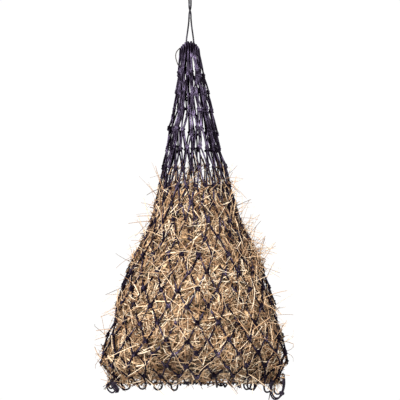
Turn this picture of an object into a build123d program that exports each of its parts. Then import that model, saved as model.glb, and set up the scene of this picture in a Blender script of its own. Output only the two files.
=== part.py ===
"""Hay net: a knotted diamond-mesh net on a drawcord, full of hay, hung from a hook.

Millimetres, +Z up. The origin is where the hanging loop bears on its hook, so the net hangs below it.
X runs along the bottom seam and Y from front to back.
"""
import os
from math import cos, pi, radians, sin, sqrt, tan

import numpy
from build123d import *

# ---- driving dimensions
MESHES_ROUND = 22          # meshes in one course
COURSES = 20               # courses from the mouth to the selvage
BAR = 51                   # knot to knot along one side of a mesh
TWINE = 3.4                # net twine
CORD = 4.2                 # drawcord and lacing
THIN_TWINE = 2.6           # the slack loop
HOOK = 12                  # bar of the hook that the loop is made for

# ---- the drawcord, from the hook down
KNOT_TOP = -50
KNOT_BOTTOM = -70
FORK_HEIGHT = -118         # where the two strands part
ENTRY_HEIGHT = -187        # where they enter the mouth
ENTRY_X = 9.6
ENTRY_Y = -8
LAY_RADIUS = 2.5           # from the middle of the twisted pair to each strand
STRAIGHT = 4               # straight ends of the twisted strands
CORD_GAP = 0.3             # between the ends of two lengths of cord that turn on each other

# ---- the mouth, drawn shut on a ring of cord that is high at front and back and droops at its sides
RING_CENTRE = Vector(0, 11.5, -191)
RING_WIDE = 22.8           # half width of the ring
RING_DEEP = 21.5           # half depth
RING_DROOP = 10            # how far its sides hang below its front and back
RING_GAP = 60              # degrees at the front that hold no mesh
OVER_CORD = CORD / 2 + TWINE / 2 + 0.4

# ---- the net's shape: depth below the origin, centre in X, half width, half depth
PROFILE = [
    (241, -1, 35, 35),
    (283, 3, 41, 40),
    (366, 8, 52, 50),
    (449, 7, 67, 62),
    (512, 12, 81, 72),
    (616, 14, 105, 90),
    (699, 16, 139, 112),
    (741, 15, 162, 122),
    (824, 15, 195, 140),
    (907, 14, 213, 150),
    (960, 11, 226, 148),
    (1000, 10, 235, 126),
    (1030, 11, 237, 92),
    (1058, 13, 231, 46),
    (1071, 13, 227, 18),
    (1087, 13, 224, 7),
]
FIRST_ROW = 267            # depth of the first row of knots
SEAM = 1071                # depth of the laced seam
SELVAGE = 1087             # depth of the selvage loops' tips

# ---- how a course's bars turn at the knots
TIP_HALF = 2.2             # half the width of the turn at a knot
TIP_ROUND = 2.1            # radius of its two corners
KNOT_LAP = 2.0             # how far a course's tips reach past the row of knots
FIRST_TIP_HALF = 2.5       # the first course's bars stand steeply, so its lower turns are wider
LAP_OUT = 3.2              # lower tips lie this far outside the row, upper tips this far inside
SELVAGE_HALF = 8           # half the width of a selvage loop's tip
SELVAGE_ROUND = 7.5
LACING_LEFT = -209         # ends of the lacing in the seam
LACING_RIGHT = 236
TIE_GAP = 0.9              # between the lacing's ends and the ties

# ---- the hay
HAY_INSET = 9.5            # from the net's knots to the hay's surface
HAY_TOP = 522
HAY_FULL = 550             # depth below which the hay fills the net
HAY_TAPER = 1030           # depth below which the hay draws in from the net's corners
HAY_BOTTOM = 1052

os.makedirs("parts", exist_ok=True)


def profile_at(depth):
    """The net's centre in X, half width and half depth, at a depth below the origin."""
    depths, *columns = zip(*PROFILE)
    return [float(numpy.interp(depth, depths, column)) for column in columns]


def round_ellipse(share, half_width, half_depth):
    """A point on an ellipse and its outward direction, a share of the way round it by length."""
    turn = numpy.linspace(0, 2 * pi, 721)
    steps = numpy.hypot(numpy.diff(half_width * numpy.cos(turn)), numpy.diff(half_depth * numpy.sin(turn)))
    length = numpy.concatenate([[0], numpy.cumsum(steps)])
    angle = float(numpy.interp(share * length[-1], length, turn))
    point = Vector(half_width * cos(angle), half_depth * sin(angle), 0)
    outward = Vector(half_depth * cos(angle), half_width * sin(angle), 0).normalized()
    return point, outward


def row_depths():
    """Depth of each row of knots: bars keep their length, so wide rows lie closer together."""
    depths = [FIRST_ROW]
    for _ in range(COURSES - 1):
        here = depths[-1]
        _, wide, deep = profile_at(here + BAR / 2)
        _, wide_above, deep_above = profile_at(here)
        _, wide_below, deep_below = profile_at(here + BAR)
        half_mesh = 2 * pi * sqrt((wide**2 + deep**2) / 2) / (2 * MESHES_ROUND)
        along = sqrt(BAR**2 - half_mesh**2)
        spread = ((wide_below - wide_above) / BAR) ** 2 + ((deep_below - deep_above) / BAR) ** 2
        depths.append(here + along / sqrt(1 + spread / 2))
    stretch = (SELVAGE - FIRST_ROW) / (depths[-1] - FIRST_ROW)
    return [FIRST_ROW + (depth - FIRST_ROW) * stretch for depth in depths]


ROWS = row_depths()


def row_place(row, share):
    """A knot's place on a row, with the directions out of the net, along the row and down the net."""
    places = []
    for near_row in (max(row - 1, 1), row, min(row + 1, COURSES)):
        depth = ROWS[near_row - 1]
        centre, half_width, half_depth = profile_at(depth)
        point, outward = round_ellipse(share % 1, half_width, half_depth)
        places.append((point + Vector(centre, 0, -depth), outward))
    (above, _), (here, outward), (below, _) = places
    sideways = Vector(-outward.Y, outward.X, 0)
    downwards = below - above
    downwards = (downwards - sideways * downwards.dot(sideways)).normalized()
    return here, sideways.cross(downwards) * -1, sideways, downwards


def net_point(row, share, outside=0.0, along=0.0, lower=0.0):
    """A place on a row of knots, moved out of the net, along the row and down the net."""
    here, out, sideways, downwards = row_place(row, share)
    return here + out * outside + sideways * along + downwards * lower


def ring_frame(angle):
    """A point on the draw ring, the way up across the cord there, and the way out of the ring."""
    point = RING_CENTRE + Vector(RING_WIDE * cos(angle), RING_DEEP * sin(angle), -RING_DROOP * cos(angle) ** 2)
    tangent = Vector(-RING_WIDE * sin(angle), RING_DEEP * cos(angle), RING_DROOP * sin(2 * angle)).normalized()
    up = (Vector(0, 0, 1) - tangent * tangent.Z).normalized()
    side = tangent.cross(up)
    if side.dot(Vector(cos(angle), sin(angle), 0)) < 0:
        side = side * -1
    return point, up, side


def ring_angle(share):
    """Where a mesh sits on the draw ring, in radians: the front gap holds none."""
    past_front = (share - 0.75) % 1
    return radians(-90 + RING_GAP / 2 + (360 - RING_GAP) * past_front)


def bend_radii(points, closed=False, share=0.45, largest=None):
    """A radius for each corner of a route: as large as its two runs allow, or a wanted size if smaller."""
    ring = [points[-1], *points, points[0]] if closed else points
    radii = []
    for before, here, after in zip(ring, ring[1:], ring[2:]):
        arriving = Vector(here) - Vector(before)
        leaving = Vector(after) - Vector(here)
        half_turn = radians(arriving.get_angle(leaving)) / 2
        radii.append(share * min(arriving.length, leaving.length) / tan(half_turn))
    return [min(pair) for pair in zip(radii, largest)] if largest else radii


def make_cord(name, points, diameter, share=0.45, largest=None):
    """A length of cord along a route, written to its own file."""
    radii = bend_radii(points, share=share, largest=largest)
    with BuildPart() as cord:
        with BuildLine() as route:
            FilletPolyline(*points, radius=radii)
        path = route.wires()[0]
        with BuildSketch(Plane(origin=path @ 0, z_dir=path % 0)):
            Circle(diameter / 2)
        sweep(path=path)
    cord.part.label = name
    export_step(cord.part, f"parts/{name}.step")
    expected = path.length * pi * diameter**2 / 4
    print(f"{name}: {path.length:.0f} mm long, volume {cord.part.volume / expected:.4f} of section x length,"
          f" radii {min(radii):.1f} to {max(radii):.1f}")
    return cord


def make_course(name, corners, wanted_radii):
    """One course of the net: a closed zigzag of twine, written to its own file.

    It is swept from the middle of one bar all the way round, and a short straight length closes it.
    """
    radii = bend_radii(corners, True, 0.48, wanted_radii)
    bar = corners[0] - corners[-1]
    start = corners[-1] + bar * 0.6
    end = corners[-1] + bar * 0.4
    with BuildPart() as course:
        with BuildLine() as route:
            FilletPolyline(start, *corners, end, radius=radii)
        path = route.wires()[0]
        with BuildSketch(Plane(origin=path @ 0, z_dir=path % 0)):
            Circle(TWINE / 2)
        sweep(path=path)
        with BuildSketch(Plane(origin=end, z_dir=bar)):
            Circle(TWINE / 2)
        extrude(amount=(start - end).length)
    course.part.label = name
    export_step(course.part, f"parts/{name}.step")
    length = path.length + (start - end).length
    expected = length * pi * TWINE**2 / 4
    print(f"{name}: {length:.0f} mm of twine, volume {course.part.volume / expected:.4f} of section x length,"
          f" radii {min(radii):.1f} to {max(radii):.1f}")
    return course


def lower_tip(row, share):
    """The turn at the bottom of a mesh, just outside the row of knots."""
    if row == COURSES:
        ends = [net_point(row, share, 0, side * SELVAGE_HALF) for side in (-1, 1)]
        return ends, [SELVAGE_ROUND] * 2
    half_tip = FIRST_TIP_HALF if row == 1 else TIP_HALF
    ends = [net_point(row, share, LAP_OUT, side * half_tip, KNOT_LAP) for side in (-1, 1)]
    return ends, [TIP_ROUND] * 2


def upper_tip(row, share):
    """The turn at the top of a mesh, just inside the row of knots."""
    ends = [net_point(row, share, -LAP_OUT, side * TIP_HALF, -KNOT_LAP) for side in (-1, 1)]
    return ends, [TIP_ROUND] * 2


def tip_over_ring(share):
    """The turn at the top of a first-course mesh: up outside the draw ring, over it and down inside."""
    point, up, side = ring_frame(ring_angle(share))
    outer = point + side * OVER_CORD + up * OVER_CORD
    inner = point - side * OVER_CORD + up * OVER_CORD
    below = point - side * OVER_CORD - up * OVER_CORD
    return [outer, inner, below], [OVER_CORD - 0.1, OVER_CORD - 0.1, 3]


def course_route(course_number):
    """The corners of one course's zigzag, and the radius at each."""
    corners = []
    rounds = []
    for step in range(2 * MESHES_ROUND):
        share = step / (2 * MESHES_ROUND)
        at_top = step % 2 == (course_number - 1) % 2
        if not at_top:
            tip, radius = lower_tip(course_number, share)
        elif course_number == 1:
            tip, radius = tip_over_ring(share)
        else:
            tip, radius = upper_tip(course_number - 1, share)
        corners += tip
        rounds += radius
    return corners, rounds


# ---- the net, course by course
for course_number in range(1, COURSES + 1):
    corners, rounds = course_route(course_number)
    make_course(f"net_course_{course_number:02d}", corners, rounds)

# ---- the hanging loop: legs out of the knot and a bight of the hook's size
bight = HOOK / 2 + CORD / 2
corner = bight * tan(radians(22.5))
loop_route = [
    (-3, 0, KNOT_TOP),
    (-3, 0, KNOT_TOP + 4),
    (-6.6, 0, -28),
    (-bight, 0, -HOOK / 2 + corner),
    (-corner, 0, -HOOK / 2 + bight),
    (corner, 0, -HOOK / 2 + bight),
    (bight, 0, -HOOK / 2 + corner),
    (6.6, 0, -28),
    (3, 0, KNOT_TOP + 4),
    (3, 0, KNOT_TOP),
]
make_cord("hang_loop", loop_route, CORD, 0.48, [20, 60, bight, bight, bight, bight, 60, 20])

# ---- the overhand knot under it: a core with three wraps round it
with BuildPart() as hang_knot:
    with BuildSketch(Plane.XY.offset(KNOT_BOTTOM)):
        Circle(5.2)
    extrude(amount=KNOT_TOP - KNOT_BOTTOM)
    for wrap_height, wrap_lean in ((-55, 12), (-60, -10), (-65, 14)):
        with Locations(Location((0, 0, wrap_height), (wrap_lean, 0, 0))):
            Torus(5.6, CORD / 2)
hang_knot.part.label = "hang_knot"
export_step(hang_knot.part, "parts/hang_knot.step")

# ---- the twisted pair: each strand goes half a turn round the other
for strand, start in (("a", 180), ("b", 0)):
    twist_route = [(LAY_RADIUS * cos(radians(start)), 0, KNOT_BOTTOM)]
    for step in range(6):
        way = step / 5
        angle = radians(start + 180 * way * way * (3 - 2 * way))
        height = KNOT_BOTTOM - STRAIGHT + (FORK_HEIGHT - KNOT_BOTTOM + 2 * STRAIGHT) * way
        twist_route.append((LAY_RADIUS * cos(angle), LAY_RADIUS * sin(angle), height))
    twist_route.append((-twist_route[0][0], 0, FORK_HEIGHT))
    make_cord(f"cord_twist_{strand}", twist_route, CORD)

# ---- the fork: a strand down to each side of the mouth
for side_name, side in (("left", -1), ("right", 1)):
    fork_route = [
        (side * LAY_RADIUS, 0, FORK_HEIGHT - CORD_GAP),
        (side * LAY_RADIUS, 0, FORK_HEIGHT - 8),
        (side * (LAY_RADIUS + 2.6), -2.6, FORK_HEIGHT - 32),
        (side * ENTRY_X, ENTRY_Y, ENTRY_HEIGHT + 7),
        (side * ENTRY_X, ENTRY_Y, ENTRY_HEIGHT),
    ]
    make_cord(f"cord_fork_{side_name}", fork_route, CORD)

# ---- the draw ring: in at the left, round through the meshes and out at the right
RING_SIDES = 12
ring_step = 310 / RING_SIDES
ring_route = [Vector(-ENTRY_X, ENTRY_Y, ENTRY_HEIGHT - CORD_GAP), ring_frame(radians(245))[0]]
for side_number in range(RING_SIDES):
    point, _, _ = ring_frame(radians(245 - ring_step * (side_number + 0.5)))
    ring_route.append(RING_CENTRE + (point - RING_CENTRE) / cos(radians(ring_step / 2)))
ring_route += [ring_frame(radians(-65))[0], Vector(ENTRY_X, ENTRY_Y, ENTRY_HEIGHT - CORD_GAP)]
make_cord("draw_ring", ring_route, CORD, 0.47)

# ---- the slack loop at the left of the mouth
slack_route = [
    (-31.5, 6, -197),
    (-37.5, 5, -206),
    (-41, 4, -219),
    (-41, 2, -234),
    (-38.5, 0, -247),
]
make_cord("slack_loop", slack_route, THIN_TWINE)

# ---- the lacing along the bottom seam
STITCH = 24.5
lacing_route = [(LACING_LEFT, 0, -SEAM)]
for stitch in range(-8, 10):
    way = (-1) ** stitch
    lacing_route.append((stitch * STITCH, 2 * way, -SEAM - 1.5 * way))
lacing_route.append((LACING_RIGHT, 0, -SEAM))
make_cord("bottom_lacing", lacing_route, CORD)

# ---- the lacing's tied ends, each hanging in a hook in front of its corner
for tie_name, tie_x, side, size in (("left", LACING_LEFT, -1, 0.85), ("right", LACING_RIGHT, 1, 1)):
    tie_route = [(tie_x + side * TIE_GAP, 0, -SEAM)]
    for outwards, forwards, down in ((8, 0, 2), (9, 10, 9), (2, 17, 22), (-10, 18, 29), (-19, 18, 20), (-18, 17, 10)):
        tie_route.append((tie_x + side * size * outwards, -forwards, -SEAM - size * down))
    make_cord(f"corner_tie_{tie_name}", tie_route, CORD)

# ---- the hay: a soft body that fills the bag inside the net
hay_sections = [(HAY_TOP, 0.62, 0), (HAY_TOP + 14, 0.9, 0)]
hay_sections += [(depth, 1, 0) for depth, *_ in PROFILE if HAY_FULL < depth < HAY_TAPER]
hay_sections += [(HAY_TAPER, 1, 6), (HAY_BOTTOM, 1, 20)]
with BuildPart() as hay_fill:
    for depth, share, corner_inset in hay_sections:
        centre, half_width, half_depth = profile_at(depth)
        with BuildSketch(Plane.XY.offset(-depth)):
            with Locations((centre, 0)):
                Ellipse(share * (half_width - HAY_INSET - corner_inset), share * (half_depth - HAY_INSET))
    loft(ruled=True)
hay_fill.part.label = "hay_fill"
export_step(hay_fill.part, "parts/hay_fill.step")
print(f"hay: {hay_fill.part.volume / 1e6:.1f} litres")
print("rows of knots at", [round(depth) for depth in ROWS])
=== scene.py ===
"""Hay net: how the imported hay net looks. Metres, +Z up, hung from the origin, front towards -Y.

The frame gives the net's size: twine and knots are made where the CAD node of each course is.
"""

import math

import bpy
import numpy as np
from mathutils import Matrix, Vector


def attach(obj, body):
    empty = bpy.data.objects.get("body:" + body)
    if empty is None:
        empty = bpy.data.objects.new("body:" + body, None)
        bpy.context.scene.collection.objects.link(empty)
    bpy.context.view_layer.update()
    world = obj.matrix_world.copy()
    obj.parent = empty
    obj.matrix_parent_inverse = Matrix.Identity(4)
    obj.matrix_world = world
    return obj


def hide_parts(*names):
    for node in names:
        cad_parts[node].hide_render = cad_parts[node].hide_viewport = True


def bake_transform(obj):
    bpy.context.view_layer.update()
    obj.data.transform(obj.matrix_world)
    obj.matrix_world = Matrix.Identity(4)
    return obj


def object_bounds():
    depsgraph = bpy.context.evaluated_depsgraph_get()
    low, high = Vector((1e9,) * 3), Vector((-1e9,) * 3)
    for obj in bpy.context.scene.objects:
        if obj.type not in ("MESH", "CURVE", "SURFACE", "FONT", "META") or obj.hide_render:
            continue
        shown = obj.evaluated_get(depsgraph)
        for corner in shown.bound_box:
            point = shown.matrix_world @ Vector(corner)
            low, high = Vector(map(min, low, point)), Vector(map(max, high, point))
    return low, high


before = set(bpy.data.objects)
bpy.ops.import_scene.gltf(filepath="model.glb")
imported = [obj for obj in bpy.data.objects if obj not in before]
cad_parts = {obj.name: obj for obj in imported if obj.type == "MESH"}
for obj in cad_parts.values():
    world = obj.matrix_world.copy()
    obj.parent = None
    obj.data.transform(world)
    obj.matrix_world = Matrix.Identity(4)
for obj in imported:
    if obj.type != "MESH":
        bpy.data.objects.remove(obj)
cad_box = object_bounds()
rng = np.random.default_rng(7)

# ---- what the net shares with its CAD part
MESHES_ROUND = 22
COURSES = 20
TWINE = 0.0034
CORD = 0.0042
THIN_TWINE = 0.0026
LAP_OUT = 0.0032           # lower tips of the meshes lie this far outside their row of knots
TIP_DEPTH = 0.012          # the lowest part of a course, which shows where its row of knots is

# ---- the net
TWINE_LOOK = 0.0046        # the twine with its loose fibres
TIGHT_TWINE = 0.0043       # the same where the neck pulls it straight
NECK_COURSES = 7
KNOT_SIZE = 0.0079         # from the middle of a mesh knot to its outside
NECK_KNOTS = 0.95          # the size of the neck's knots beside that of the others
TAKEN_IN = 0.005           # how much narrower than in the frame the first row of knots lies
TAKEN_ABOVE = 4            # the rows above this one lie narrower
LET_OUT = 0.011            # the hay pushes the net's two sides out this much further near one height
LET_OUT_AT = -0.984
LET_OUT_SPREAD = 0.034
NET_MIDDLE = 0.010         # the net's middle in X
STEP_ROUND = 0.0057        # turns the knots round the net, so that front and back ones aren't in line

# ---- laid cord, as shares of its diameter
STRAND_RADIUS = 0.29
LAID_RADIUS = 0.55         # from the cord's line to the outside of its strands
LAY_LENGTH = 3.4           # one turn of a strand
STRAND_STEP = 0.3          # between two points along a strand

# ---- how the knots and bars lie out of step, most in the drawn-in rows at the top
DRAWN_ABOVE = 7.5          # the rows above this one are drawn in
DRAWN_OVER = 5             # and fully drawn in this many rows further up
BUNCHES = 5                # places round the net where the strands lie closer together
BUNCHING = 0.012
BUNCH_SHIFT = 0.37         # how far those places move from row to row
FOLDS = 6                  # pleats round the neck
FOLD_DEPTH = 0.11          # as a share of the net's half depth
UNEVEN_OUT = 0.0012
UNEVEN_ALONG = 0.0016
UNEVEN_DOWN = 0.0022
DRAWN_ALONG = 0.0016       # what drawing in adds to the last two
DRAWN_DOWN = 0.0048
BAR_BOW = 0.0011
KNOT_DEPTH = 0.55          # beside its width
KNOT_LEAN = 0.5            # in radians
KNOT_SIZES = (0.88, 1.14)  # smallest and largest, beside the usual knot

# ---- the selvage loops at the bottom of the last course
SELVAGE_HALF = (0.0085, 0.0120)
SELVAGE_DROP = (-0.001, 0.003)
SELVAGE_TUCK = 0.013       # how far up a loop that doesn't hang is tucked
SELVAGE_RISE = 0.010       # from a loop's place up to its two ends, and from its tip up to its sides
SELVAGE_SIDES = 0.0035
TUCKED_FROM = -0.03        # between these places in X the front loops are tucked up
TUCKED_TO = 0.13
HANGING_BEHIND = 0.1       # the share of the back loops that hang

# ---- the drawcord: a loop round the hook's bar, a knot, two twisted strands and two parted ones
HOOK_LINE = -0.006         # height of the middle of the hook's bar
BIGHT = 0.0081             # from the middle of the hook's bar to the cord's line
CORNER = BIGHT * math.tan(math.radians(22.5))
KNOT_TOP = -0.050
KNOT_BOTTOM = -0.070
KNOT_TURNS = 3.15
LAY_RADIUS = 0.0025        # from the middle to each of two strands side by side
STRAIGHT = 0.004           # straight ends of the twisted strands
FORK_HEIGHT = -0.118
ENTRY = (0.0096, -0.008, -0.187)

# ---- the mouth: a ring of cord that is high at its front and droops at its sides
RING_CENTRE = np.array([-0.001, 0.0115, -0.1895])
RING_WIDE = 0.0205
RING_DEEP = 0.0215
RING_DROOP = 0.016
RING_SLACK = 0.009         # how far its back hangs below its front
RING_START = 245           # degrees: the ring runs from here the long way round to the other strand
RING_SWEEP = 310
RING_SIDES = 12
TURN_GAP = 0.0003          # between the cord and the twine that turns over it
TURN_LIFT = 0.0004
SPREAD_OUT = 0.32          # how much wider the twine is where it turns over the ring
SPREAD_FROM = -0.203       # the height where this starts, and how far up it takes
SPREAD_OVER = 0.010

# ---- the seam, its lacing and its two tied ends
SEAM = -1.071
STITCH = 0.0245
FIRST_STITCH = -8
LAST_STITCH = 9
LACING_LEFT = -0.209
LACING_RIGHT = 0.236
TIE_WAY = ((8, 0, 2), (9, 10, 9), (2, 17, 22), (-10, 18, 29), (-19, 18, 20), (-18, 17, 10))
SECOND_CORD = np.array([0.0036, 0.0022, 0.0030])    # from one cord of a doubled bight to the other

# ---- the hay
HAY_TOP = -0.572
HAY_BOTTOM = -1.073
UNDER_STEMS = 3200
STEMS = 6400
FINE_STEMS = 4200
WISPS = 260
LEAVES = 2400
STRAYS = 300
SETTLED = 0.015            # how far the hay has settled away from the net's sides, at most
SETTLED_AT = {-1: (-0.800, -0.930), 1: (-0.815, -0.990)}
SETTLED_SPREAD = 0.030
CORE_INSET = 0.0185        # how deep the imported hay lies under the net
CORE_LUMPS = 0.0040
CORE_ROWS = 90
CORE_ROUND = 120
LEAF_WIDTHS = (0.0028, 0.0075)
STRAY_LENGTHS = (0.03, 0.105)
STRAY_RADII = (0.0005, 0.0013)
BOX_SHARE = 0.02           # hay is kept within the CAD box grown by this share of its side, and this much more
BOX_ROOM = 0.008
TUFTS = (                  # where stalks push out through the meshes: count, way round, height, spread
    (48, 0.12, -0.680, 0.035),
    (40, -0.3, -0.735, 0.025),
    (14, 0.1, -0.545, 0.012),
    (10, math.pi + 0.1, -0.560, 0.025),
    (18, math.pi - 0.1, -0.665, 0.035),
    (14, math.pi, -0.900, 0.060),
)

# ---- floor, light and camera
FLOOR_HEIGHT = -1.5
AMBIENT = 0.10             # soft light from all round
BACKDROP = 1.02            # how white the backdrop looks to the camera
LIGHTS = (                 # name, place, size and power
    ("key", (-1.2, -2.9, 1.0), 0.6, 261),
    ("fill", (2.2, -2.4, 0.2), 1.4, 30),
    ("back", (0.8, 2.8, 1.2), 1.4, 110),
    ("left", (-3.0, 1.2, 0.3), 1.4, 45),
    ("right", (3.0, 1.0, 0.3), 1.4, 60),
)
VIEW_MIDDLE = Vector((0.026, 0, -0.595))
VIEW_WIDTH = 1.04
VIEW_DISTANCE = 4.6
SENSOR = 36


# ======== mesh helpers ========

def make_mesh(name, points, quads, uvs=None, tones=None):
    """A mesh object from arrays of points and quads, with UVs per corner and a tone per point."""
    mesh = bpy.data.meshes.new(name)
    mesh.vertices.add(len(points))
    mesh.vertices.foreach_set("co", np.asarray(points, np.float32).ravel())
    mesh.loops.add(quads.size)
    mesh.loops.foreach_set("vertex_index", quads.astype(np.int32).ravel())
    mesh.polygons.add(len(quads))
    mesh.polygons.foreach_set("loop_start", np.arange(0, quads.size, 4, dtype=np.int32))
    mesh.update(calc_edges=True)
    mesh.polygons.foreach_set("use_smooth", np.ones(len(quads), bool))
    if uvs is not None:
        mesh.uv_layers.new(name="UVMap").data.foreach_set("uv", uvs.astype(np.float32).ravel())
    if tones is not None:
        mesh.attributes.new("tone", "FLOAT", "POINT").data.foreach_set("value", tones.astype(np.float32))
    mesh.validate()
    piece = bpy.data.objects.new(name, mesh)
    bpy.context.scene.collection.objects.link(piece)
    return piece


def join_arrays(parts):
    """Several (points, quads, uvs) sets as one."""
    points, quads, uvs, count = [], [], [], 0
    for part_points, part_quads, part_uvs in parts:
        points.append(part_points)
        quads.append(part_quads + count)
        uvs.append(part_uvs)
        count += len(part_points)
    return np.concatenate(points), np.concatenate(quads), np.concatenate(uvs)


def unit(vectors):
    return vectors / np.maximum(np.linalg.norm(vectors, axis=-1, keepdims=True), 1e-12)


def smooth_path(corners, closed, samples=3):
    """A Catmull-Rom line through the corners."""
    corners = np.asarray(corners, float)
    if closed:
        ring = np.concatenate([corners[-1:], corners, corners[:2]])
    else:
        before_first = 2 * corners[:1] - corners[1:2]
        after_last = 2 * corners[-1:] - corners[-2:-1]
        ring = np.concatenate([before_first, corners, after_last])
    before, start, end, after = ring[:-3], ring[1:-2], ring[2:-1], ring[3:]
    line = []
    for share in np.arange(samples) / samples:
        square, cube = share**2, share**3
        line.append(0.5 * (2 * start + (end - before) * share
                           + (2 * before - 5 * start + 4 * end - after) * square
                           + (3 * start - before - 3 * end + after) * cube))
    line = np.stack(line, axis=1).reshape(-1, 3)
    return line if closed else np.concatenate([line, corners[-1:]])


def carried_frames(path, closed):
    """Two directions across a path at each point, carried along it without twisting."""
    ahead = np.roll(path, -1, axis=0) - np.roll(path, 1, axis=0)
    if not closed:
        ahead[0] = path[1] - path[0]
        ahead[-1] = path[-1] - path[-2]
    ahead = unit(ahead)
    across = np.cross(ahead[0], [0.3, 0.9, 0.2])
    firsts = []
    for tangent in ahead:
        across = across - tangent * (across @ tangent)
        across = across / math.sqrt(across @ across)
        firsts.append(across)
    firsts = np.array(firsts)
    return firsts, np.cross(ahead, firsts)


def tube(path, radius, sides=8, closed=False):
    """Points, quads and UVs of a tube: u goes once round it and v is its length in metres."""
    first, second = carried_frames(path, closed)
    turn = np.arange(sides) * 2 * math.pi / sides
    ring = first[:, None] * np.cos(turn)[None, :, None] + second[:, None] * np.sin(turn)[None, :, None]
    radius = np.broadcast_to(np.asarray(radius, float), (len(path),))
    points = (path[:, None] + ring * radius[:, None, None]).reshape(-1, 3)
    count = len(path)
    rows = np.arange(count if closed else count - 1)
    here, there = np.meshgrid(rows, np.arange(sides), indexing="ij")
    nearer, farther = here * sides, ((here + 1) % count) * sides
    beside = (there + 1) % sides
    quads = np.stack([nearer + there, nearer + beside, farther + beside, farther + there], -1)
    steps = np.linalg.norm(np.roll(path, -1, axis=0) - path, axis=1)
    along = np.concatenate([[0], np.cumsum(steps)])
    u_low, u_high = there / sides, (there + 1) / sides
    v_low, v_high = along[here], along[here + 1]
    uvs = np.stack([u_low, v_low, u_high, v_low, u_high, v_high, u_low, v_high], -1).reshape(-1, 2)
    return points, quads.reshape(-1, 4), uvs


def spline_points(name, points, steps=6):
    """Points along the smooth NURBS line that has the route's points as its control points."""
    curve = bpy.data.curves.new(name + "_line", "CURVE")
    curve.dimensions = "3D"
    curve.resolution_u = steps
    spline = curve.splines.new("NURBS")
    spline.points.add(len(points) - 1)
    for control, place in zip(spline.points, points):
        control.co = (*place, 1)
    spline.order_u = 3
    spline.use_endpoint_u = True
    line = bpy.data.objects.new(name + "_line", curve)
    bpy.context.scene.collection.objects.link(line)
    mesh = bpy.data.meshes.new_from_object(line)
    path = np.array([vertex.co for vertex in mesh.vertices])
    bpy.data.objects.remove(line)
    bpy.data.meshes.remove(mesh)
    return path


def lengths_along(path):
    """How far along the line each of its points is."""
    return np.concatenate([[0], np.cumsum(np.linalg.norm(np.diff(path, axis=0), axis=1))])


def even_path(path, step):
    """The same line with points a step apart."""
    along = lengths_along(path)
    places = np.linspace(0, along[-1], max(4, int(along[-1] / step)))
    return np.stack([np.interp(places, along, path[:, axis]) for axis in range(3)], 1)


def laid_strands(path, diameter, strands=3):
    """A laid cord's strands, each a tube that winds round the cord's line."""
    path = even_path(path, diameter * STRAND_STEP)
    first, second = carried_frames(path, False)
    along = lengths_along(path)
    turn_length = diameter * LAY_LENGTH
    strand_radius = diameter * STRAND_RADIUS
    reach = diameter * LAID_RADIUS - strand_radius
    parts = []
    for strand in range(strands):
        angle = 2 * math.pi * (along / turn_length + strand / strands)
        offset = first * np.cos(angle)[:, None] + second * np.sin(angle)[:, None]
        parts.append(tube(path + offset * reach, strand_radius, 7))
    return join_arrays(parts)


# ======== the net's shape, read from the frame ========

def course_name(course):
    return f"net_course_{course:02d}"


def node_points(name):
    """The points of a CAD node's mesh."""
    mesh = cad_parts[name].data
    points = np.zeros(len(mesh.vertices) * 3)
    mesh.vertices.foreach_get("co", points)
    return points.reshape(-1, 3)


def row_of_knots(course):
    """Height, centre in X, half width and half depth of the row of knots at the bottom of a course."""
    points = node_points(course_name(course))
    lowest = points[:, 2].min()
    tips = points[points[:, 2] < lowest + TIP_DEPTH]
    low, high = tips.min(axis=0), tips.max(axis=0)
    proud = TWINE / 2 + (LAP_OUT if course < COURSES else 0)
    half_width = (high[0] - low[0]) / 2 - proud
    half_depth = (high[1] - low[1]) / 2 - proud
    return [lowest + TWINE, (low[0] + high[0]) / 2, half_width, half_depth]


ROWS = np.array([row_of_knots(course) for course in range(1, COURSES + 1)])
ROWS[:, 2] += LET_OUT * np.exp(-((ROWS[:, 0] - LET_OUT_AT) / LET_OUT_SPREAD) ** 2)


def outline_at(height):
    """Centre in X, half width and half depth of the net at a height."""
    depths = -ROWS[:, 0]
    return [np.interp(-np.asarray(height), depths, ROWS[:, column]) for column in (1, 2, 3)]


def ellipse_place(share, centre, half_width, half_depth):
    """Points a share of the way round an ellipse by its length, with the ways out and along."""
    turn = np.linspace(0, 2 * math.pi, 721)
    steps = np.hypot(half_width * np.diff(np.cos(turn)), half_depth * np.diff(np.sin(turn)))
    length = np.concatenate([[0], np.cumsum(steps)])
    angle = np.interp(np.mod(share, 1) * length[-1], length, turn)
    zero = np.zeros_like(angle)
    place = np.stack([centre + half_width * np.cos(angle), half_depth * np.sin(angle), zero], -1)
    out = unit(np.stack([half_depth * np.cos(angle), half_width * np.sin(angle), zero], -1))
    along = np.stack([-out[:, 1], out[:, 0], zero], -1)
    return place, out, along


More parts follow.
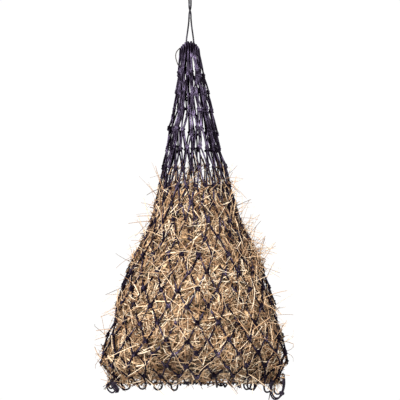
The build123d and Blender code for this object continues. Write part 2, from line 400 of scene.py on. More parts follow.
def row_of_places(row):
    """Each knot of a row, pleated and a little out of step, with the ways out, along and down there."""
    shares = np.arange(2 * MESHES_ROUND) / (2 * MESHES_ROUND) + STEP_ROUND
    drawn_in = float(np.clip((DRAWN_ABOVE - row) / DRAWN_OVER, 0, 1))
    bunched = np.sin(2 * math.pi * (BUNCHES * shares + BUNCH_SHIFT * row))
    shares = shares + drawn_in**2 * BUNCHING * bunched
    height, centre, half_width, half_depth = ROWS[row - 1]
    taken_in = TAKEN_IN * np.clip((TAKEN_ABOVE - row) / (TAKEN_ABOVE - 1), 0, 1)
    place, out, along = ellipse_place(shares, centre, half_width - taken_in, half_depth - taken_in)
    angle = 2 * math.pi * shares
    pleat = FOLD_DEPTH * drawn_in * half_depth * (np.cos(FOLDS * angle) - 1)
    down = np.tile([0.0, 0.0, -1.0], (len(angle), 1))
    if 1 < row < COURSES:
        above, _, _ = ellipse_place(shares, *ROWS[row - 2, 1:])
        below, _, _ = ellipse_place(shares, *ROWS[row, 1:])
        above[:, 2] = ROWS[row - 2, 0]
        below[:, 2] = ROWS[row, 0]
        down = unit(below - above)
        down = unit(down - along * np.sum(down * along, axis=1, keepdims=True))
    out = unit(np.cross(down, along))
    place[:, 2] = height
    place += out * (pleat + rng.normal(0, UNEVEN_OUT, len(angle)))[:, None]
    place += along * rng.normal(0, UNEVEN_ALONG + DRAWN_ALONG * drawn_in, len(angle))[:, None]
    place += down * rng.normal(0, UNEVEN_DOWN + DRAWN_DOWN * drawn_in, len(angle))[:, None]
    return place, out, along, down


KNOTS = {row: row_of_places(row) for row in range(1, COURSES + 1)}


def ring_place(angle):
    """A point on the draw ring, the way up across the cord there and the way out."""
    across, deep = math.cos(angle), math.sin(angle)
    behind = max(deep, 0)
    lower = RING_DROOP * across**2 + RING_SLACK * behind**2
    point = RING_CENTRE + np.array([RING_WIDE * across, RING_DEEP * deep, -lower])
    climb = 2 * across * (RING_DROOP * deep - RING_SLACK * behind)
    tangent = unit(np.array([-RING_WIDE * deep, RING_DEEP * across, climb]))
    up = unit(np.array([0, 0, 1.0]) - tangent * tangent[2])
    side = np.cross(tangent, up)
    if side @ np.array([across, deep, 0]) < 0:
        side = -side
    return point, up, side


# ======== the twine of each course ========

def selvage_loop(place, along, down):
    """The open loop at the bottom of a mesh of the last course: it hangs, or is tucked up."""
    if place[1] > 0:
        hangs = rng.random() < HANGING_BEHIND
    else:
        hangs = not TUCKED_FROM < place[0] < TUCKED_TO
    half = rng.uniform(*SELVAGE_HALF)
    tip = place + down * (rng.uniform(*SELVAGE_DROP) if hangs else -SELVAGE_TUCK)
    return [
        place - along * half - down * SELVAGE_RISE,
        tip - along * half * 0.75 - down * SELVAGE_SIDES,
        tip + along * rng.normal(0, 0.001),
        tip + along * half * 0.75 - down * SELVAGE_SIDES,
        place + along * half - down * SELVAGE_RISE,
    ]


def turn_at_knot(row, index, end):
    """The small U a mesh makes in its knot: end is 1 at the bottom of the mesh and -1 at its top."""
    place, out, along, down = (part[index] for part in KNOTS[row])
    if row == COURSES:
        return selvage_loop(place, along, down)
    half, reach, proud = 0.0019, 0.0024, 0.0014 * end
    return [
        place + out * proud - along * half,
        place + out * proud + down * reach * end,
        place + out * proud + along * half,
    ]


def turn_over_ring(share, lift):
    """The turn of a first-course mesh over the draw ring."""
    past_front = (share - 0.75) % 1
    angle = math.radians(-90 + 360 * past_front)
    point, up, side = ring_place(angle)
    reach = CORD / 2 + TWINE / 2 + TURN_GAP
    return [
        point + side * reach * 1.15 - up * reach,
        point + side * reach * 0.9 + up * reach * 0.8,
        point + up * (reach * 1.1 + lift),
        point - side * reach * 0.9 + up * reach * 0.8,
        point - side * reach - up * reach,
    ]


def bar_between(start, finish):
    """The points of a bar between two turns, bowed a little."""
    chord = finish - start
    bow = rng.normal(0, BAR_BOW, 3)
    return [start + chord * 0.3 + bow, start + chord * 0.7 + bow * 0.8]


def course_line(course):
    """The closed line of one course's twine."""
    turns = []
    for index in range(2 * MESHES_ROUND):
        share = index / (2 * MESHES_ROUND)
        at_top = index % 2 == (course - 1) % 2
        if not at_top:
            turns.append(turn_at_knot(course, index, 1))
        elif course == 1:
            turns.append(turn_over_ring(share, abs(rng.normal(0, TURN_LIFT))))
        else:
            turns.append(turn_at_knot(course - 1, index, -1))
    corners = []
    for turn, after in zip(turns, turns[1:] + turns[:1]):
        corners += turn
        corners += bar_between(turn[-1], after[0])
    return smooth_path(corners, closed=True)


def knot_line(samples=26):
    """A small tight trefoil knot in its own frame, about 1 across: along, out and down."""
    turn = np.arange(samples) * 2 * math.pi / samples
    along = (np.sin(turn) + 2 * np.sin(2 * turn)) / 3
    down = (np.cos(turn) - 2 * np.cos(2 * turn)) / 3
    out = -np.sin(3 * turn) * KNOT_DEPTH
    return np.stack([along, out, down], -1)


def knots_of_row(row, thickness):
    """A knot of twine at each place of a row where a mesh ends."""
    template = knot_line()
    usual_size = KNOT_SIZE * (NECK_KNOTS if row < NECK_COURSES else 1) - thickness / 2
    parts = []
    place, out, along, down = KNOTS[row]
    for index in range(2 * MESHES_ROUND):
        if index % 2 == (row - 1) % 2:
            continue
        lean = rng.normal(0, KNOT_LEAN)
        sideways = along[index] * math.cos(lean) + down[index] * math.sin(lean)
        downwards = down[index] * math.cos(lean) - along[index] * math.sin(lean)
        size = usual_size * rng.uniform(*KNOT_SIZES)
        wide = template[:, :1] * sideways + template[:, 1:2] * out[index]
        line = (wide + template[:, 2:] * downwards * 1.1) * size
        parts.append(tube(place[index] + line, thickness * 0.47, 6, closed=True))
    return join_arrays(parts)


def make_course(course):
    """One course of meshes with the knots at its lower row."""
    thickness = TIGHT_TWINE if course <= NECK_COURSES else TWINE_LOOK
    line = course_line(course)
    at_mouth = np.clip((line[:, 2] - SPREAD_FROM) / SPREAD_OVER, 0, 1) if course == 1 else 0
    parts = [tube(line, thickness / 2 * (1 + SPREAD_OUT * at_mouth), 8, closed=True)]
    if course < COURSES:
        parts.append(knots_of_row(course, thickness))
    piece = make_mesh(f"twine_{course:02d}", *join_arrays(parts))
    piece.data.materials.append(twine_material)
    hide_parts(course_name(course))
    if course == 1:
        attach(piece, "neck")
    elif course <= 4:
        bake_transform(piece)
    else:
        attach(piece, "bag")


# ======== cords ========

def make_cord(name, node, points, diameter, material, body,
              blend=None, with_pieces=()):
    """A laid cord along a route, standing for its CAD node."""
    path = spline_points(name, points)
    piece = make_mesh(name, *laid_strands(path, diameter))
    piece.data.materials.append(material)
    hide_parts(node)
    if blend:
        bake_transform(piece)
    else:
        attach(piece, body)


def make_hang_loop():
    """The loop that goes over the hook, with the knot that makes it."""
    points = [
        (-0.003, 0, KNOT_TOP),
        (-0.003, 0, -0.046),
        (-0.0066, 0, -0.028),
        (-BIGHT, 0, HOOK_LINE + CORNER),
        (-CORNER, 0, HOOK_LINE + BIGHT),
        (CORNER, 0, HOOK_LINE + BIGHT),
        (BIGHT, 0, HOOK_LINE + CORNER),
        (0.0066, 0, -0.028),
        (0.003, 0, -0.046),
        (0.003, 0, KNOT_TOP),
    ]
    make_cord("drawcord_loop", "hang_loop", points, CORD, cord_material, "hanger",
              with_pieces=[make_hang_knot()])


def make_hang_knot():
    """The knot under the loop: two strands, three turns drawn tight round them and a turn across."""
    parts = []
    for side in (-1, 1):
        strand = [(side * LAY_RADIUS, 0, KNOT_TOP + 0.004 - step * 0.004) for step in range(8)]
        parts.append(laid_strands(np.array(strand), CORD))
    turns = np.linspace(0, KNOT_TURNS, 64)
    angle = turns * 2 * math.pi
    climb = KNOT_TOP - 0.0035 - turns * CORD
    lean = 0.0016 * np.sin(angle)
    reach = 0.0051 + 0.0009 * np.sin(angle * 0.5 + 1)
    wrap = np.stack([reach * 1.25 * np.cos(angle), reach * np.sin(angle), climb + lean], -1)
    parts.append(laid_strands(wrap, CORD))
    cross = [
        (-0.0062, -0.004, -0.0660),
        (-0.002, -0.0078, -0.0625),
        (0.003, -0.0078, -0.0565),
        (0.0062, -0.003, -0.0525),
    ]
    parts.append(laid_strands(smooth_path(cross, False, 8), CORD))
    knot = make_mesh("drawcord_knot", *join_arrays(parts))
    knot.data.materials.append(cord_material)
    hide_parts("hang_knot")
    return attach(knot, "hanger")


def make_twist(strand, begin):
    """One of the two strands laid round each other for half a turn: it begins at an angle in degrees."""
    points = [(LAY_RADIUS * math.cos(math.radians(begin)), 0, KNOT_BOTTOM)]
    for step in range(6):
        way = step / 5
        turned = way * way
        angle = math.radians(begin + 180 * turned * turned * (3 - 2 * turned))
        height = KNOT_BOTTOM - STRAIGHT + (FORK_HEIGHT - KNOT_BOTTOM + 2 * STRAIGHT) * way
        points.append((LAY_RADIUS * math.cos(angle), LAY_RADIUS * math.sin(angle), height))
    points.append((-points[0][0], 0, FORK_HEIGHT))
    make_cord(f"drawcord_twist_{strand}", f"cord_twist_{strand}", points, CORD,
              cord_material, "cord_pair",
              ("cord_pair", "cord_fork", (0, 0, KNOT_BOTTOM - 0.008), (0, 0, FORK_HEIGHT)))


def make_fork(side_name, side):
    """One of the two strands that run apart down to the mouth: its side is -1 or 1."""
    points = [
        (side * LAY_RADIUS, 0, FORK_HEIGHT),
        (side * LAY_RADIUS, 0, FORK_HEIGHT - 0.008),
        (side * (LAY_RADIUS + 0.0026), -0.0026, FORK_HEIGHT - 0.032),
        (side * ENTRY[0], ENTRY[1], ENTRY[2] + 0.007),
        (side * ENTRY[0], *ENTRY[1:]),
    ]
    make_cord(f"drawcord_fork_{side_name}", f"cord_fork_{side_name}", points, CORD,
              cord_material, "cord_fork",
              ("cord_fork", "neck", (0, ENTRY[1], ENTRY[2] + 0.018), (0, ENTRY[1], ENTRY[2])))


def make_ring():
    """The cord through the first meshes: its control points are the corners round the ring's line."""
    first = ring_place(math.radians(RING_START))[0]
    last = ring_place(math.radians(RING_START - RING_SWEEP))[0]
    side_angle = RING_SWEEP / RING_SIDES
    outside = math.cos(math.radians(side_angle / 2))
    points = [(-ENTRY[0], *ENTRY[1:]), tuple(first)]
    for side in range(RING_SIDES):
        on_line = ring_place(math.radians(RING_START - side_angle * (side + 0.5)))[0]
        points.append(tuple(RING_CENTRE + (on_line - RING_CENTRE) / outside))
    points += [tuple(last), ENTRY]
    make_cord("drawcord_ring", "draw_ring", points, CORD, cord_material, "neck")


def make_slack_loop():
    """The slack loop of thin twine beside the mouth."""
    points = [
        (-0.0262, 0.005, -0.1995),
        (-0.0345, 0.004, -0.2070),
        (-0.0378, 0.003, -0.2180),
        (-0.0362, 0.002, -0.2310),
        (-0.0310, 0.000, -0.2440),
    ]
    make_cord("slack_twine_loop", "slack_loop", points, THIN_TWINE, thin_material,
              "neck")


def make_tangle(name, bight, knots):
    """A doubled bight and small knots of the lacing's cord. A knot has a place, a width and a height."""
    parts = []
    if bight:
        line = smooth_path(bight, False, 8)
        parts.append(laid_strands(line, CORD))
        parts.append(laid_strands(line + SECOND_CORD, CORD))
    template = knot_line(60)
    for place, wide, high in knots:
        twist = rng.uniform(-0.6, 0.6)
        sideways = np.array([math.cos(twist), 0, math.sin(twist)])
        upright = np.array([-math.sin(twist), 0, math.cos(twist)])
        line = template[:, :1] * sideways * wide + template[:, 2:] * upright * high
        line = np.array(place) + line + template[:, 1:2] * np.array([0, CORD, 0])
        parts.append(tube(line, CORD * 0.45, 7, closed=True))
    tangle = make_mesh(name, *join_arrays(parts))
    tangle.data.materials.append(lacing_material)
    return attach(tangle, "bag")


def make_left_tangle():
    """The small bunch at the seam's left end."""
    bight = [
        (-0.207, -0.012, -1.058),
        (-0.203, -0.020, -1.070),
        (-0.194, -0.023, -1.080),
        (-0.188, -0.020, -1.089),
        (-0.193, -0.017, -1.094),
    ]
    knots = [
        ((-0.199, -0.020, -1.072), 0.0085, 0.0075),
        ((-0.191, -0.021, -1.084), 0.0060, 0.0090),
    ]
    return make_tangle("tie_tangle_left", bight, knots)


def make_right_tangle():
    """The wide loop at the seam's right end."""
    bight = [
        (0.211, -0.012, -1.056),
        (0.208, -0.019, -1.078),
        (0.209, -0.022, -1.098),
        (0.217, -0.023, -1.110),
        (0.229, -0.022, -1.108),
        (0.238, -0.019, -1.092),
        (0.242, -0.014, -1.072),
        (0.240, -0.006, -1.050),
    ]
    knots = [
        ((0.212, -0.018, -1.066), 0.0060, 0.0080),
        ((0.237, -0.022, -1.096), 0.0058, 0.0062),
    ]
    return make_tangle("tie_tangle_right", bight, knots)


def make_seam_knots():
    """Two small knots that hang from the lacing."""
    knots = [
        ((0.127, -0.010, -1.075), 0.0065, 0.0070),
        ((0.169, -0.010, -1.078), 0.0030, 0.0110),
    ]
    return make_tangle("seam_knots", None, knots)


def make_lacing(seam_knots):
    """The cord that weaves through the last meshes and shuts the bottom of the net."""
    points = [(LACING_LEFT, 0, SEAM)]
    for stitch in range(FIRST_STITCH, LAST_STITCH + 1):
        way = (-1) ** stitch
        points.append((stitch * STITCH, 0.002 * way, SEAM - 0.0015 * way))
    points.append((LACING_RIGHT, 0, SEAM))
    make_cord("seam_lacing", "bottom_lacing", points, CORD, lacing_material, "bag",
              with_pieces=[seam_knots])


def make_tie(tie_name, tie_x, side, size, tangle):
    """The hooked end of the lacing at one corner: TIE_WAY gives it in mm outwards, forwards and down."""
    points = [(tie_x, 0, SEAM)]
    for outwards, forwards, down in TIE_WAY:
        x = tie_x + side * size * outwards / 1000
        points.append((x, -forwards / 1000, SEAM - size * down / 1000))
    make_cord(f"seam_tie_{tie_name}", f"corner_tie_{tie_name}", points, CORD,
              lacing_material, "bag", with_pieces=[tangle])


# ======== materials ========

LIGHTER_FROM = -0.64          # the twine gets lighter from this height up to the next, in the neck
LIGHTER_TO = -0.46
NECK_LIGHTENING = 0.28
HIGHLIGHT_FACING = 0.8           # how squarely the twine has to face out to be painted lighter than plain cord, as a highlight; less squarely it is painted darker, as shade
MIDDLING = 0.12            # the share of the light tone in the middling one


class Nodes:
    """A new material's node tree, with short ways to add and join nodes."""

    def __init__(self, name):
        self.material = bpy.data.materials.new(name)
        self.material.use_nodes = True
        self.tree = self.material.node_tree
        self.shader = self.tree.nodes["Principled BSDF"]

    def add(self, kind, inputs=None, **settings):
        node = self.tree.nodes.new("ShaderNode" + kind)
        for setting, value in settings.items():
            setattr(node, setting, value)
        for socket, value in (inputs or {}).items():
            if isinstance(value, bpy.types.NodeSocket):
                self.tree.links.new(value, node.inputs[socket])
            else:
                node.inputs[socket].default_value = value
        return node

    def link(self, output, socket):
        self.tree.links.new(output, self.shader.inputs[socket])

    def ramp(self, factor, stops):
        node = self.add("ValToRGB", {"Fac": factor})
        elements = node.color_ramp.elements
        while len(elements) < len(stops):
            elements.new(0.5)
        for element, (position, colour) in zip(elements, stops):
            element.position = position
            element.color = (*colour, 1)
        return node.outputs["Color"]

    def math(self, operation, *values):
        return self.add("Math", dict(enumerate(values)), operation=operation).outputs[0]

    def noise(self, place, scale, detail, roughness=0.5):
        inputs = {"Vector": place, "Scale": scale, "Detail": detail, "Roughness": roughness}
        return self.add("TexNoise", inputs).outputs["Fac"]

    def vector(self, operation, *values):
        return self.add("VectorMath", dict(enumerate(values)), operation=operation).outputs["Vector"]


def fibre_material(name, dark, light, gloss, painted_highlight=0.0):
    """Twine or laid cord: fine fibres wound slantwise, with dusty patches, painted darker in the grooves
    as shade and lighter on the ridges as highlight.

    The highlight share paints the side that faces away from the net's middle lighter, as a painted
    highlight, and its other sides darker, as painted shade; the same share sets how much lighter the
    twine is in the neck than lower down.
    """
    nodes = Nodes(name)
    place = nodes.add("TexCoord").outputs["Object"]
    uv = nodes.add("TexCoord").outputs["UV"]
    around = nodes.add("SeparateXYZ", {"Vector": uv})
    three_turns = nodes.math("MULTIPLY", around.outputs["X"], 6 * math.pi)
    winding = nodes.math("MULTIPLY", around.outputs["Y"], 2 * math.pi / CORD)
    lay = nodes.math("SINE", nodes.math("ADD", three_turns, winding))
    ridge = nodes.math("MULTIPLY_ADD", lay, 0.5, 0.5)
    dust = nodes.noise(place, 48.0, 6.0, roughness=0.6)
    flat = nodes.vector("MULTIPLY", place, (1, 1, 0))
    outward = nodes.vector("NORMALIZE", nodes.vector("SUBTRACT", flat, (NET_MIDDLE, 0, 0)))
    normal = nodes.add("TexCoord").outputs["Normal"]
    dot = nodes.add("VectorMath", {0: outward, 1: normal}, operation="DOT_PRODUCT")
    outward_highlight_mask = dot.outputs["Value"]
    fuzz = nodes.noise(place, 1600.0, 3.0)
    dust_and_painted_light = nodes.math("MULTIPLY_ADD", dust, 1.7, -0.55)
    # painted highlight on the ridges of the lay, painted shade in its grooves
    dust_and_painted_light = nodes.math("ADD", dust_and_painted_light, nodes.math("MULTIPLY", ridge, 0.2))
    # painted highlight on the side facing out from the net's middle, painted shade on its other sides
    dust_and_painted_light = nodes.math("ADD", dust_and_painted_light, nodes.math("MULTIPLY_ADD", outward_highlight_mask, painted_highlight, -HIGHLIGHT_FACING * painted_highlight))
    height = nodes.add("SeparateXYZ", {"Vector": place}).outputs["Z"]
    neck_range = nodes.add("MapRange", {"Value": height, "From Min": LIGHTER_FROM, "From Max": LIGHTER_TO})
    in_neck = neck_range.outputs["Result"]
    neck_lightening = NECK_LIGHTENING * painted_highlight
    # the twine is lighter in the neck than lower down
    dust_and_painted_light = nodes.math("ADD", dust_and_painted_light, nodes.math("MULTIPLY_ADD", in_neck, neck_lightening, -neck_lightening))
    middling = [a * (1 - MIDDLING) + b * MIDDLING for a, b in zip(dark, light)]
    colour = nodes.ramp(dust_and_painted_light, [(0.20, dark), (0.49, middling), (0.95, light)])
    nodes.link(colour, "Base Color")
    relief = nodes.math("ADD", nodes.math("MULTIPLY", ridge, 0.8), nodes.math("MULTIPLY", fuzz, 0.5))
    bump = nodes.add("Bump", {"Height": relief, "Strength": 0.75, "Distance": 0.0005})
    nodes.link(bump.outputs["Normal"], "Normal")
    nodes.shader.inputs["Roughness"].default_value = 0.6
    nodes.shader.inputs["Specular IOR Level"].default_value = gloss
    return nodes.material


def hay_material(name, stops):
    """Dry hay: each stalk has its own tone, from green-brown through gold to bleached straw."""
    nodes = Nodes(name)
    tone = nodes.add("Attribute", attribute_name="tone").outputs["Fac"]
    place = nodes.add("TexCoord").outputs["Object"]
    streak = nodes.noise(place, 260.0, 4.0)
    patch = nodes.noise(place, 11.0, 3.0)
    mixed = nodes.math("ADD", tone, nodes.math("MULTIPLY_ADD", streak, 0.26, -0.13))
    mixed = nodes.math("ADD", mixed, nodes.math("MULTIPLY_ADD", patch, 0.24, -0.12))
    nodes.link(nodes.ramp(mixed, stops), "Base Color")
    bump = nodes.add("Bump", {"Height": streak, "Strength": 0.4, "Distance": 0.0004})
    nodes.link(bump.outputs["Normal"], "Normal")
    nodes.shader.inputs["Roughness"].default_value = 0.62
    nodes.shader.inputs["Specular IOR Level"].default_value = 0.3
    return nodes.material


twine_material = fibre_material("net_twine", (0.003, 0.001, 0.004), (0.312, 0.243, 0.402), 0.04,
                                painted_highlight=0.46)
cord_material = fibre_material("drawcord", (0.005, 0.004, 0.006), (0.105, 0.098, 0.125), 0.12)
lacing_material = fibre_material("lacing", (0.004, 0.002, 0.006), (0.100, 0.078, 0.120), 0.10)
thin_material = fibre_material("slack_twine", (0.040, 0.032, 0.028), (0.220, 0.190, 0.165), 0.15)
# the darkest stops, used mostly by the deep stalks, are painted shade between the stalks
stem_material = hay_material("hay_stems", [
    (0.00, (0.014, 0.006, 0.004)),
    (0.24, (0.062, 0.028, 0.013)),
    (0.45, (0.275, 0.142, 0.068)),
    (0.66, (0.540, 0.340, 0.185)),
    (0.84, (0.800, 0.600, 0.400)),
    (1.00, (0.900, 0.780, 0.600)),
])
leaf_material = hay_material("hay_leaves", [
    (0.00, (0.020, 0.014, 0.006)),
    (0.25, (0.070, 0.044, 0.018)),
    (0.55, (0.280, 0.158, 0.074)),
    (0.80, (0.560, 0.365, 0.200)),
    (1.00, (0.780, 0.590, 0.380)),
])
# near-black tones: painted shade for the hay deep inside the net
core_material = hay_material("hay_core", [
    (0.00, (0.004, 0.002, 0.001)),
    (0.45, (0.014, 0.007, 0.003)),
    (0.80, (0.040, 0.020, 0.009)),
    (1.00, (0.080, 0.045, 0.020)),
])


# ======== the hay ========

def settled_at(angle, height):
    """How far the hay lies inside the net: most at a few heights on its two sides."""
    amount = np.zeros_like(angle + height)
    for side, places in SETTLED_AT.items():
        sideways = np.clip(side * np.cos(angle), 0, 1) ** 5
        for place in places:
            amount = amount + SETTLED * sideways * np.exp(-((height - place) / SETTLED_SPREAD) ** 2)
    return amount


def hay_surface(angle, height):
    """Points on the net's inside, with the ways round, down and out there."""
    centre, half_width, half_depth = outline_at(height)
    half_width = half_width - settled_at(angle, height)
    lower = np.asarray(height) - 0.004
    centre_low, half_width_low, half_depth_low = outline_at(lower)
    half_width_low = half_width_low - settled_at(angle, lower)
    cosine, sine = np.cos(angle), np.sin(angle)
    point = np.stack([centre + half_width * cosine, half_depth * sine, height], -1)
    below = np.stack([centre_low + half_width_low * cosine, half_depth_low * sine, lower], -1)
    around = unit(np.stack([-half_width * sine, half_depth * cosine, np.zeros_like(angle)], -1))
    down = unit(below - point)
    out = unit(np.cross(down, around))
    return point, around, down, out


def scattered_places(count, top, bottom):
    """Angles and heights spread over the hay's surface, fewer where it curves tightly at its sides."""
    heights = np.linspace(top, bottom, 400)
    _, half_width, half_depth = outline_at(heights)
    girth = np.sqrt(half_width**2 + half_depth**2)
    share = np.cumsum(girth) / girth.sum()
    height = np.interp(rng.random(count), share, heights)
    _, half_width, half_depth = outline_at(height)
    angle = rng.uniform(0, 2 * math.pi, count)
    wanted = np.hypot(half_width * np.sin(angle), half_depth * np.cos(angle))
    retry = rng.random(count) > wanted / np.maximum(half_width, half_depth)
    front_or_back = np.round(rng.random(retry.sum())) * math.pi + math.pi / 2
    angle[retry] = front_or_back + rng.normal(0, 0.7, retry.sum())
    return angle, height


def keep_in_box(points):
    """Points moved back inside the CAD box grown by a margin."""
    low, high = (np.array(corner) for corner in cad_box)
    room = BOX_SHARE * (high - low) + BOX_ROOM
    return np.clip(points, low - room, high + room)


def bent_lines(middle, direction, bend, length, steps):
    """Each stalk's line: straight along its direction with a slight bend."""
    share = np.linspace(-0.5, 0.5, steps)[None, :, None]
    straight = middle[:, None] + direction[:, None] * share * length[:, None, None]
    return straight + bend[:, None] * (share**2 - 0.08)


def across(direction, hint):
    """Two directions at right angles to each direction, the first also to the hint."""
    first = unit(np.cross(direction, hint))
    return first, np.cross(direction, first)


def rows_of_three(count, steps):
    """The number of the first point in each row of three across each line, but for its last row."""
    return (np.arange(count) * steps * 3)[:, None, None] + np.arange(steps - 1)[None, :, None] * 3


def stalk_mesh(lines, radius, taper):
    """Thin three-sided stalks round many lines at once."""
    count, steps, _ = lines.shape
    direction = unit(lines[:, -1] - lines[:, 0])
    first, second = across(direction, unit(rng.normal(size=(count, 3))))
    turn = np.arange(3) * 2 * math.pi / 3
    ring = first[:, None] * np.cos(turn)[None, :, None] + second[:, None] * np.sin(turn)[None, :, None]
    share = np.linspace(0, 1, steps)
    girth = radius[:, None] * (1 - taper * share[None])
    points = lines[:, :, None] + ring[:, None] * girth[:, :, None, None]
    side = np.arange(3)[None, None, :]
    beside = (side + 1) % 3
    row = rows_of_three(count, steps)
    quads = np.stack([row + side, row + beside, row + 3 + beside, row + 3 + side], -1)
    return points.reshape(-1, 3), quads.reshape(-1, 4)


def blade_mesh(lines, out, width, curl):
    """Dry leaf blades: creased ribbons round many lines at once, pointed at both ends."""
    count, steps, _ = lines.shape
    direction = unit(lines[:, -1] - lines[:, 0])
    flat, _ = across(direction, out)
    share = np.linspace(0, 1, steps)
    turn = curl[:, None] * (share[None] - 0.5) + rng.uniform(-0.9, 0.9, count)[:, None]
    lift = np.cross(flat, direction)
    wide = flat[:, None] * np.cos(turn)[..., None] + lift[:, None] * np.sin(turn)[..., None]
    crease = lift[:, None] * np.cos(turn)[..., None] - flat[:, None] * np.sin(turn)[..., None]
    shape = np.clip(1.25 * np.sin(math.pi * (0.06 + 0.9 * share)), 0.1, 1)
    half = width[:, None] * shape[None] / 2
    points = np.stack([
        lines - wide * half[..., None],
        lines - crease * half[..., None] * 0.4,
        lines + wide * half[..., None],
    ], axis=2)
    side = rows_of_three(count, steps) + np.arange(2)[None, None, :]
    quads = np.stack([side, side + 1, side + 4, side + 3], -1)
    return points.reshape(-1, 3), quads.reshape(-1, 4)


def stalk_lines(count, top, bottom, lengths, inset, lift, steps=6, bend=0.010):
    """Lines of stalks that lie along the hay's surface in every direction, some lifting off it."""
    angle, height = scattered_places(count, top, bottom)
    place, around, down, out = hay_surface(angle, height)
    slant = rng.uniform(0, math.pi, count)
    direction = around * np.cos(slant)[:, None] + down * np.sin(slant)[:, None]
    direction = unit(direction + out * rng.normal(0, lift, count)[:, None])
    length = rng.uniform(*lengths, count) * rng.uniform(0.6, 1, count)
    depth = -rng.uniform(*inset, count) - 0.003 * np.clip((-0.90 - height) / 0.1, 0, 1)
    bends = unit(rng.normal(size=(count, 3))) * rng.gamma(1.6, bend, count)[:, None]
    bends = bends - out * (length**2 / 0.5)[:, None]
    lines = bent_lines(place + out * depth[:, None], direction, bends, length, steps)
    return keep_in_box(lines), out


def add_hay(name, points, quads, tones, material):
    """A piece of loose hay, with one tone for each of its stalks or leaves."""
    piece = make_mesh(name, points, quads, tones=np.repeat(tones, len(points) // len(tones)))
    piece.data.materials.append(material)
    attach(piece, "bag")


def add_stems(name, count, top, bottom, lengths, inset, lift, radii, tones, bend=0.010):
    """Round stems between two heights. Inset is how deep they lie, and lift how far they stand off."""
    lines, _ = stalk_lines(count, top, bottom, lengths, inset, lift, bend=bend)
    radius = rng.uniform(*radii, count)
    darkest, lightest = tones
    tone = np.clip(rng.beta(1.0, 1.0, count) * (lightest - darkest) + darkest, 0, 1)
    points, quads = stalk_mesh(lines, radius, 0.35)
    add_hay(name, points, quads, tone, stem_material)


def add_leaves():
    """Dry leaf blades among the stems."""
    lines, out = stalk_lines(LEAVES, HAY_TOP, HAY_BOTTOM, lengths=(0.025, 0.095), inset=(0.001, 0.016),
                             lift=0.15, steps=7, bend=0.018)
    width = rng.uniform(*LEAF_WIDTHS, LEAVES)
    curl = rng.normal(0, 1.4, LEAVES)
    points, quads = blade_mesh(lines, out, width, curl)
    add_hay("hay_leaves", points, quads, rng.beta(1.8, 2.2, LEAVES), leaf_material)


def make_core():
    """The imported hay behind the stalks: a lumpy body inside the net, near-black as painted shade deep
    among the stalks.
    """
    heights = np.linspace(HAY_TOP - 0.012, HAY_BOTTOM + 0.012, CORE_ROWS)
    angles = np.linspace(0, 2 * math.pi, CORE_ROUND, endpoint=False)
    points = []
    for number, height in enumerate(heights):
        centre, half_width, half_depth = outline_at(height)
        lump = 0.5 * np.sin(5 * angles + 37 * height) + 0.5 * np.sin(9 * angles - 61 * height + 1.3)
        uneven = rng.normal(0, 0.0011, CORE_ROUND)
        inset = CORE_INSET + CORE_LUMPS * lump + uneven + settled_at(angles, height)
        closing = min(1, (number + 0.2) / 7, (CORE_ROWS - 1 - number + 0.2) / 7)
        rounding = math.sqrt(1 - (1 - closing) ** 2)
        wide = np.maximum(half_width - inset, 0.003) * rounding
        deep = np.maximum(half_depth - np.minimum(inset, half_depth * 0.45), 0.003) * rounding
        heave = height + 0.003 * np.sin(3 * angles + number)
        points.append(np.stack([centre + wide * np.cos(angles), deep * np.sin(angles), heave], -1))
    points = np.concatenate(points)
    row, column = np.meshgrid(np.arange(CORE_ROWS - 1), np.arange(CORE_ROUND), indexing="ij")
    beside = (column + 1) % CORE_ROUND
    here, under = row * CORE_ROUND, (row + 1) * CORE_ROUND
    quads = np.stack([here + column, under + column, under + beside, here + beside], -1).reshape(-1, 4)
    core = make_mesh("hay_core", points, quads, tones=rng.random(len(points)))
    core.data.materials.append(core_material)
    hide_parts("hay_fill")
    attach(core, "bag")


def add_strays():
    """Single stalks that stick out through the meshes."""
    angle, height = scattered_places(STRAYS, HAY_TOP, HAY_BOTTOM + 0.01)
    for count, way_round, tuft_height, spread in TUFTS:
        angle = np.concatenate([angle, rng.normal(way_round, 0.30, count)])
        height = np.concatenate([height, rng.normal(tuft_height, spread, count)])
    count = len(angle)
    place, around, down, out = hay_surface(angle, height)
    slant = rng.uniform(0, 2 * math.pi, count)
    direction = around * np.cos(slant)[:, None] + down * np.sin(slant)[:, None]
    direction = unit(direction + out * rng.uniform(0.25, 1.3, count)[:, None])
    length = rng.uniform(*STRAY_LENGTHS, count)
    bends = unit(rng.normal(size=(count, 3))) * rng.gamma(1.5, 0.006, count)[:, None]
    bends[:, 2] -= 0.12 * length
    middle = place + direction * (length * 0.25)[:, None]
    lines = keep_in_box(bent_lines(middle, direction, bends, length, 8))
    points, quads = stalk_mesh(lines, rng.uniform(*STRAY_RADII, count), 0.4)
    add_hay("hay_strays", points, quads, rng.uniform(0.3, 0.95, count), stem_material)


# ======== floor, light and camera ========

def area_light(name, place, size, power):
    """A round light aimed at the middle of the view."""
    data = bpy.data.lights.new(name, "AREA")
    data.shape = "DISK"
    data.size = size
    data.energy = power
    light = bpy.data.objects.new(name, data)
    light.location = place
    light.rotation_mode = "QUATERNION"
    light.rotation_quaternion = (VIEW_MIDDLE - Vector(place)).to_track_quat("-Z", "Y")
    bpy.context.scene.collection.objects.link(light)


def make_floor():
    """A plain pale floor under the hanging net."""
    bpy.ops.mesh.primitive_circle_add(vertices=96, radius=3.2, fill_type="NGON",
                                      location=(0, 0, FLOOR_HEIGHT))
    floor = bpy.context.object
    floor.name = "floor"
    nodes = Nodes("floor")
    nodes.shader.inputs["Base Color"].default_value = (0.86, 0.86, 0.86, 1)
    nodes.shader.inputs["Roughness"].default_value = 0.8
    floor.data.materials.append(nodes.material)


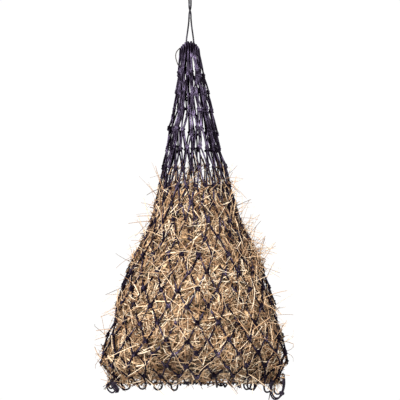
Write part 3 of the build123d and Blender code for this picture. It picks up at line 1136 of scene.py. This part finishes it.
def make_world():
    """A white backdrop that gives only a little light."""
    world = bpy.data.worlds.new("studio")
    world.use_nodes = True
    nodes, links = world.node_tree.nodes, world.node_tree.links
    backdrop = nodes["Background"]
    backdrop.inputs["Color"].default_value = (1, 1, 1, 1)
    seen = nodes.new("ShaderNodeLightPath")
    strength = nodes.new("ShaderNodeMapRange")
    strength.inputs["To Min"].default_value = AMBIENT
    strength.inputs["To Max"].default_value = BACKDROP
    links.new(seen.outputs["Is Camera Ray"], strength.inputs["Value"])
    links.new(strength.outputs["Result"], backdrop.inputs["Strength"])
    bpy.context.scene.world = world
    bpy.context.scene.view_settings.view_transform = "Standard"


def make_camera():
    """A level camera in front of the net."""
    data = bpy.data.cameras.new("camera")
    data.sensor_width = SENSOR
    data.lens = SENSOR * VIEW_DISTANCE / VIEW_WIDTH
    camera = bpy.data.objects.new("camera", data)
    camera.location = VIEW_MIDDLE + Vector((0, -VIEW_DISTANCE, 0))
    camera.rotation_euler = (math.pi / 2, 0, 0)
    bpy.context.scene.collection.objects.link(camera)
    bpy.context.scene.camera = camera


# ======== everything in its place ========

for course in range(1, COURSES + 1):
    make_course(course)

make_hang_loop()
make_twist("a", 180)
make_twist("b", 0)
make_fork("left", -1)
make_fork("right", 1)
make_ring()
make_slack_loop()

left_tangle = make_left_tangle()
right_tangle = make_right_tangle()
make_lacing(make_seam_knots())
make_tie("left", LACING_LEFT, -1, 0.85, left_tangle)
make_tie("right", LACING_RIGHT, 1, 1, right_tangle)

make_core()
# a deep layer of stalks in the darkest tones: painted shade in the gaps between the nearer stalks
add_stems("hay_under", UNDER_STEMS, HAY_TOP, HAY_BOTTOM, lengths=(0.04, 0.13), inset=(0.014, 0.027),
          lift=0.12, radii=(0.0010, 0.0020), tones=(0.0, 0.3))
add_stems("hay_stems", STEMS, HAY_TOP, HAY_BOTTOM, lengths=(0.03, 0.12), inset=(0.001, 0.018),
          lift=0.13, radii=(0.0008, 0.0018), tones=(0.1, 1.0))
add_stems("hay_fine", FINE_STEMS, HAY_TOP + 0.015, HAY_BOTTOM, lengths=(0.02, 0.085),
          inset=(-0.004, 0.010), lift=0.2, radii=(0.00045, 0.0009), tones=(0.25, 1.0), bend=0.014)
add_stems("hay_wisps", WISPS, HAY_TOP + 0.065, HAY_TOP - 0.03, lengths=(0.03, 0.09), inset=(0.002, 0.03),
          lift=0.3, radii=(0.0005, 0.0010), tones=(0.1, 0.85), bend=0.02)
add_leaves()
add_strays()

make_floor()
make_world()
for light_name, light_place, light_size, light_power in LIGHTS:
    area_light(light_name, light_place, light_size, light_power)
make_camera()
